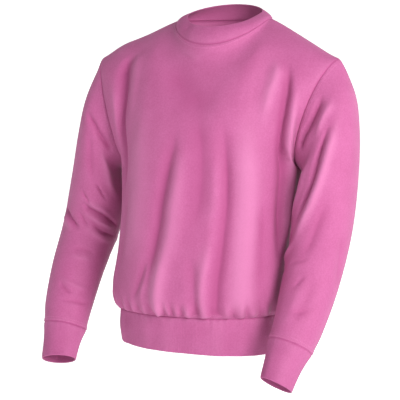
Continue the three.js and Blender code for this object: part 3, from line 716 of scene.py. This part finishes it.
# %% [markdown]
# Seams
#
# Two pieces are sewn right sides together and opened out, so each dives to the seam line and rises again
# within two millimetres, and the allowance turned to one side lifts the cloth over a finger's breadth. The
# seam line itself is shared by both pieces and stays where it is, so no gap opens. Two rows of small stitches
# run beside it, as a coverstitch machine leaves them. They are modelled, as one mesh for each seam, because
# the thread stands on the cloth, and each row presses a fine groove into it.


# %% How far a seam lifts the cloth beside it, and how much painted shade darkens its groove
def seam_rise(distance, height, reach=13):
    return height * (1 - np.exp(-((distance / 1.9) ** 2))) * np.exp(-((distance / reach) ** 2))


def seam_shade(*distances):
    return sum(0.9 * np.exp(-((distance / 2.2) ** 2)) for distance in distances)


# %% Two rows of stitches beside a seam, and the dip of the cloth along each
NEEDLES = (3.2, 8.6)
STITCH_PITCH, STITCH_HALF, THREAD_WIDE, THREAD_HIGH = 3.3, 1.15, 0.38, 0.34


def needle_dips(distance):
    return sum(-0.35 * np.exp(-(((distance - needle) / 1.3) ** 2)) for needle in NEEDLES)


def stitch_rows(name, points, distance, used):
    rows = []
    points = swollen(points)
    normals = outward_of(points, False)
    for needle in NEEDLES:
        line, out = np.empty((points.shape[1], 3)), np.empty((points.shape[1], 3))
        for j in range(points.shape[1]):
            order = np.argsort(distance[:, j])
            for axis in range(3):
                line[j, axis] = np.interp(needle, distance[order, j], points[order, j, axis])
                out[j, axis] = np.interp(needle, distance[order, j], normals[order, j, axis])
        line, out = line[used], out[used]
        run = np.concatenate([[0], np.cumsum(np.linalg.norm(np.diff(line, axis=0), axis=1))])
        places = np.arange(1.6, run[-1] - 1.6, STITCH_PITCH)
        rows.append([
            np.stack([np.interp(places + off, run, values[:, axis]) for axis in range(3)], -1)
            for off, values in ((-STITCH_HALF, line), (STITCH_HALF, line), (0, out))
        ])
    start, end, out = (np.concatenate(parts) for parts in zip(*rows))
    ahead, out = unit(end - start), unit(out)
    aside = np.cross(ahead, out)
    bpy.ops.mesh.primitive_uv_sphere_add(segments=6, ring_count=4, radius=1)
    one = bpy.context.object
    shape = np.array([v.co[:] for v in one.data.vertices])
    faces = [tuple(face.vertices) for face in one.data.polygons]
    bpy.data.objects.remove(one)
    half = np.linalg.norm(end - start, axis=1) / 2
    middle = (start + end) / 2 + 0.05 * out
    made = (
        middle[:, None]
        + shape[None, :, :1] * THREAD_WIDE * aside[:, None]
        + shape[None, :, 1:2] * THREAD_HIGH * out[:, None]
        + shape[None, :, 2:] * half[:, None, None] * ahead[:, None]
    )
    mesh = bpy.data.meshes.new(name)
    count = len(shape)
    mesh.from_pydata((made.reshape(-1, 3) * MM).tolist(), [],
                     [tuple(v + count * i for v in face) for i in range(len(middle)) for face in faces])
    thread = bpy.data.objects.new(name, mesh)
    bpy.context.scene.collection.objects.link(thread)
    mesh.materials.append(THREAD)
    mesh.shade_smooth()
    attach(thread, "root")
    print(f"{name}: {len(middle)} stitches")
    return thread


# %% [markdown]
# The body and the sleeves
#
# A form made of rings and straight shoulder lines has hard corners at the armpits and on the upper chest.
# Real cloth evens them out, so there each point moves to the mean of its neighbours a few hundred times, as
# the smooth brush would do it. Then come the folds, the seams and the stitches.


# %% The front and back panels
def relaxed(points, free, rounds=110):
    points, pull = points.copy(), 0.5 * ease(free[1:-1, 1:-1] / 30)[..., None]
    for _ in range(rounds):
        inner = points[1:-1, 1:-1]
        around = (points[:-2, 1:-1] + points[2:, 1:-1] + points[1:-1, :-2] + points[1:-1, 2:]) / 4
        points[1:-1, 1:-1] = inner + (around - inner) * pull
    return points


def body_panel(name, is_front, step, folds, gather_table):
    across, heights = panel_places(step)
    if not is_front:
        across = across[::-1]
    across_grid, height_grid = np.meshgrid(across, heights)
    plain = body_point(is_front, across_grid, height_grid)
    up, right = distance_up(plain), distance_across(plain)
    from_side, from_top = np.minimum(right, right[:, -1:] - right), up[-1] - up
    armpit = np.exp(-(((height_grid - ARMPIT) / 60) ** 4))
    plain = relaxed(plain, np.minimum(from_side - 2, 30) * armpit, 240)
    chest = np.exp(-((from_top / 95) ** 4)) * ease((0.8 - np.abs(across_grid)) / 0.3)
    plain = relaxed(plain, np.minimum(from_top - 3, 30) * chest, 420)
    up, right = distance_up(plain), distance_across(plain)
    from_top, from_right = up[-1] - up, right[:, -1:] - right
    all_folds = folds + gathers(gather_table, TORSO[0, 0], 46)
    rise = fold_rise(all_folds, across_grid * PANEL_HALF, height_grid)
    edge = np.minimum(right, from_right)
    rise *= ease(edge / 22) * ease(from_top / 26) * ease(up / 9)
    rise += seam_rise(up, 0.6) + seam_rise(from_top, 0.7) + seam_rise(edge, 0.8)
    rise += needle_dips(up) + needle_dips(from_top)
    points = plain + outward_of(plain, False) * rise[..., None]
    cut = np.stack([across_grid * PANEL_HALF, np.broadcast_to(up.mean(1)[:, None], up.shape)], -1) * MM
    # Rolls get painted highlight, creases and seams painted shade
    painted_light_mask = rise / 7 - seam_shade(up, from_top, edge)
    piece = cloth(name + "_cloth", points, cut, painted_light_mask, False, FLEECE_WALL, FLEECE, FLEECE_INSIDE)
    claim(piece, name)
    stitch_rows(name + "_neck_stitches", points, from_top, np.abs(across) <= NECK_SHARE)
    stitch_rows(name + "_hem_stitches", points, up, np.abs(across) <= 1)
    return piece


front = body_panel("front", True, 3.0, FRONT_FOLDS, FRONT_GATHERS)
back = body_panel("back", False, 3.5, BACK_FOLDS, BACK_GATHERS)


# %% The sleeves
def sleeve(side, folds):
    turns = 360 * shares_of(SLEEVE_GIRTH * 360, 3.2)
    if side == "right":
        turns = turns[::-1]
    down = shares_of(SLEEVE_LENGTH, 3.2)[::-1]
    plain = sleeve_grid(side, turns, down)
    turn_grid, down_grid = np.meshgrid(turns, down)
    up = distance_up(plain)
    from_top = up[-1] - up
    rise = sum(
        fold_rise(folds, SLEEVE_GIRTH * (turn_grid + round_about), SLEEVE_LENGTH * down_grid)
        for round_about in (-360, 0, 360)
    )
    rise *= ease(from_top / 20) * ease(up / 12)
    under = SLEEVE_GIRTH * np.minimum(turn_grid, 360 - turn_grid)
    rise += seam_rise(up, 2.2, 9) + seam_rise(from_top, 1.0) + seam_rise(under, 0.7) + needle_dips(up)
    rise += needle_dips(from_top)
    points = plain + outward_of(plain, True) * rise[..., None]
    across = np.where(side == "left", turn_grid, 360 - turn_grid) * SLEEVE_GIRTH
    cut = np.stack([across, np.broadcast_to(up.mean(1)[:, None], up.shape)], -1) * MM
    name = side + "_sleeve"
    # Rolls get painted highlight, creases and seams painted shade
    painted_light_mask = rise / 7 - seam_shade(up, from_top)
    piece = cloth(name + "_cloth", points, cut, painted_light_mask, True, FLEECE_WALL, FLEECE, FLEECE_INSIDE)
    claim(piece, name)
    stitch_rows(name + "_cuff_stitches", points, up, turns >= 0)
    stitch_rows(name + "_armhole_stitches", points, from_top, turns >= 0)
    return piece


left_sleeve = sleeve("left", LEFT_SLEEVE_FOLDS)
right_sleeve = sleeve("right", RIGHT_SLEEVE_FOLDS)

# %% [markdown]
# The ribbed bands
#
# Collar, cuffs and hem band are rib knit folded double: fine upright ribs, and a soft round edge where the
# fold is. The ribs are modelled, four columns of the grid to a rib, because they show along the edges as
# well. A bump alone would leave the outlines smooth.


# %% Bands of rib knit
RIB_PITCH = 2.4
RIB_DEPTH = 0.2


def band(name, grid_of, girth, height, step, edge_first, wobble=None):
    ribs = round(girth / RIB_PITCH)
    around = np.arange(4 * ribs + 1) / (4 * ribs)
    shares = shares_of(height, step)
    plain = grid_of(around, shares)
    up = distance_up(plain)
    from_top = up[-1] - up
    to_edge, to_seam = (up, from_top) if edge_first else (from_top, up)
    rise = RIB_DEPTH * (0.5 + np.cos(2 * np.pi * ribs * around))[None, :] * ease(to_seam / 1.5)
    rise = rise * ease(to_edge / 2) + seam_rise(to_seam, 0.8)
    rise = rise - 1.0 * (1 - np.sqrt(1 - np.clip(1 - to_edge / 1.6, 0, 1) ** 2))
    if wobble is not None:
        rise = rise + wobble(around, to_seam, to_edge)
    points = plain + outward_of(plain, True) * rise[..., None]
    run = np.broadcast_to(around * girth, up.shape)
    cut = np.stack([run, np.broadcast_to(up.mean(1)[:, None], up.shape)], -1) * MM
    # Raised ribs and rolls get painted highlight, the seam painted shade
    painted_light_mask = rise / 5 - seam_shade(to_seam)
    piece = cloth(name + "_rib", points, cut, painted_light_mask, True, RIB_WALL, RIB, RIB_INSIDE)
    claim(piece, name)
    return piece


# %% The collar
def collar_points(around, shares):
    turn = 360 * around[None, :] - 180
    seam = neck_point(NECK_SEAM, turn)
    made = mix(seam, neck_point(NECK_EDGE, turn), shares[:, None, None])
    out = unit(np.stack([seam[..., 0], seam[..., 1] - NECK_SEAM["back"], np.full(turn.shape, 20.0)], -1))
    return made + out * COLLAR_SWELL * np.sin(np.pi * shares)[:, None, None]


def collar_wobble(around, to_seam, to_edge):
    turn = 360 * around - 180
    dent = np.exp(-(((turn + 38) / 9) ** 2)) * -1.6 + np.exp(-(((turn - 52) / 16) ** 2)) * -0.8
    return dent[None, :] * ease(to_seam / 8)


collar = band("collar", collar_points, 566, 38, 2.4, False, collar_wobble)


# %% The hem band
def hem_points(around, shares):
    turn = 360 * around[None, :] - 180
    low, high = HEM_BAND[0, 0], HEM_BAND[-1, 0]
    made = ring_point(HEM_BAND, mix(low, high, shares[:, None]), turn)
    made[..., 2] -= HEM_TILT * np.sin(np.radians(turn)) * (1 - shares[:, None])
    return made


def hem_wobble(around, to_seam, to_edge):
    turn = 2 * np.pi * around
    waves = 0.5 * np.sin(9 * turn + 1) + 0.4 * np.sin(14 * turn + 2.2) + 0.35 * np.sin(23 * turn + 0.5)
    puckers = 0.55 * np.sin(61 * turn + 1.4 * np.sin(7 * turn)) + 0.35 * np.sin(83 * turn + 3)
    return waves[None, :] * ease(to_seam / 10) + puckers[None, :] * ease(to_seam / 3) * np.exp(-to_seam / 9)


hem_band = band("hem_band", hem_points, 968, 73, 3.6, True, hem_wobble)


# %% The cuffs
def cuff(side):
    def grid(around, shares):
        turns = 360 * (around if side == "left" else 1 - around)
        return cuff_grid(side, turns, 1 - shares)

    def wobble(around, to_seam, to_edge):
        turn = 2 * np.pi * around
        waves = 0.6 * np.sin(3 * turn + (1 if side == "left" else 2.4)) + 0.35 * np.sin(7 * turn)
        puckers = 0.5 * np.sin(19 * turn + 1.2 * np.sin(5 * turn))
        return (waves[None, :] * ease(to_seam / 10) * ease(to_edge / 8)
                + puckers[None, :] * ease(to_seam / 3) * np.exp(-to_seam / 8))

    return band(side + "_cuff", grid, 262 if side == "left" else 250, 74, 2.6, True, wobble)


left_cuff = cuff("left")
right_cuff = cuff("right")

# %% [markdown]
# The flat cuts
#
# Every piece is a sheet of cloth that was cut flat before it was sewn, and its UV map lays it out on that flat
# cut, in metres, all round for a tube.

# %% [markdown]
# The studio
#
# A pale floor that curves up far away, so that no horizon shows from any side, and soft lamps: a large one
# from the wearer's left, where the photograph is brightest, a weak one opposite and one behind. The air gives
# light as well, more from the lit side than from the other.

# %% Floor
FLOOR = -0.86
bpy.ops.object.select_all(action="DESELECT")
bpy.ops.mesh.primitive_grid_add(x_subdivisions=96, y_subdivisions=96, size=24, location=(0, 0, FLOOR))
floor = bpy.context.object
floor.name = "studio_floor"
for vertex in floor.data.vertices:
    out = max(0.0, math.hypot(vertex.co.x, vertex.co.y) - 4.0)
    vertex.co.z = 0.09 * out**2
bpy.ops.object.shade_smooth()
paper = bpy.data.materials.new("pale_paper")
paper.use_nodes = True
paper.node_tree.nodes["Principled BSDF"].inputs["Base Color"].default_value = (0.93, 0.93, 0.93, 1)
paper.node_tree.nodes["Principled BSDF"].inputs["Roughness"].default_value = 0.9
paper.node_tree.nodes["Principled BSDF"].inputs["Emission Color"].default_value = (1, 1, 1, 1)
paper.node_tree.nodes["Principled BSDF"].inputs["Emission Strength"].default_value = 0.56
floor.data.materials.append(paper)


# %% Lamps and the air's own light
def lamp(name, place, target, size, power, colour=(1, 1, 1)):
    bpy.ops.object.light_add(type="AREA", location=place)
    light = bpy.context.object
    light.name = name
    light.data.size, light.data.energy, light.data.color = size, power, colour
    light.rotation_euler = (Vector(target) - Vector(place)).to_track_quat("-Z", "Y").to_euler()


CHEST = (0, 0, -0.35)
lamp("key_lamp", (2.85, -1.95, 0.9), CHEST, 1.6, 138)
lamp("fill_lamp", (-2.4, -2.8, 0.4), CHEST, 2.5, 4)
lamp("back_lamp", (0.9, 3.2, 1.4), CHEST, 2.5, 24)
air = bpy.data.worlds.new("studio_air")
bpy.context.scene.world = air
air.use_nodes = True
sky = air.node_tree
apart = sky.nodes.new("ShaderNodeSeparateXYZ")
sky.links.new(sky.nodes.new("ShaderNodeTexCoord").outputs["Generated"], apart.inputs["Vector"])
brightness = stretch(sky, apart.outputs["X"], -1, 1, 0.04, 0.5)
sky.links.new(brightness, sky.nodes["Background"].inputs["Strength"])
sky.nodes["Background"].inputs["Color"].default_value = (1, 1, 1, 1)

# %% [markdown]
# The camera
#
# It stands 2.9 m away, 22 degrees to the wearer's left, a little above the middle, with a long lens. That
# view fits the photograph's outline.

# %% Camera
CAMERA_PLACE, CAMERA_AIM, LENS = (1.0863, -2.6888, -0.111), (-0.0441, -0.0178, -0.371), 126.6
bpy.ops.object.camera_add(location=CAMERA_PLACE)
camera = bpy.context.object
camera.name = "photo_camera"
camera.rotation_euler = (Vector(CAMERA_AIM) - Vector(CAMERA_PLACE)).to_track_quat("-Z", "Y").to_euler()
camera.data.lens, camera.data.sensor_width = LENS, 36
bpy.context.scene.camera = camera
bpy.context.scene.view_settings.view_transform = "Standard"
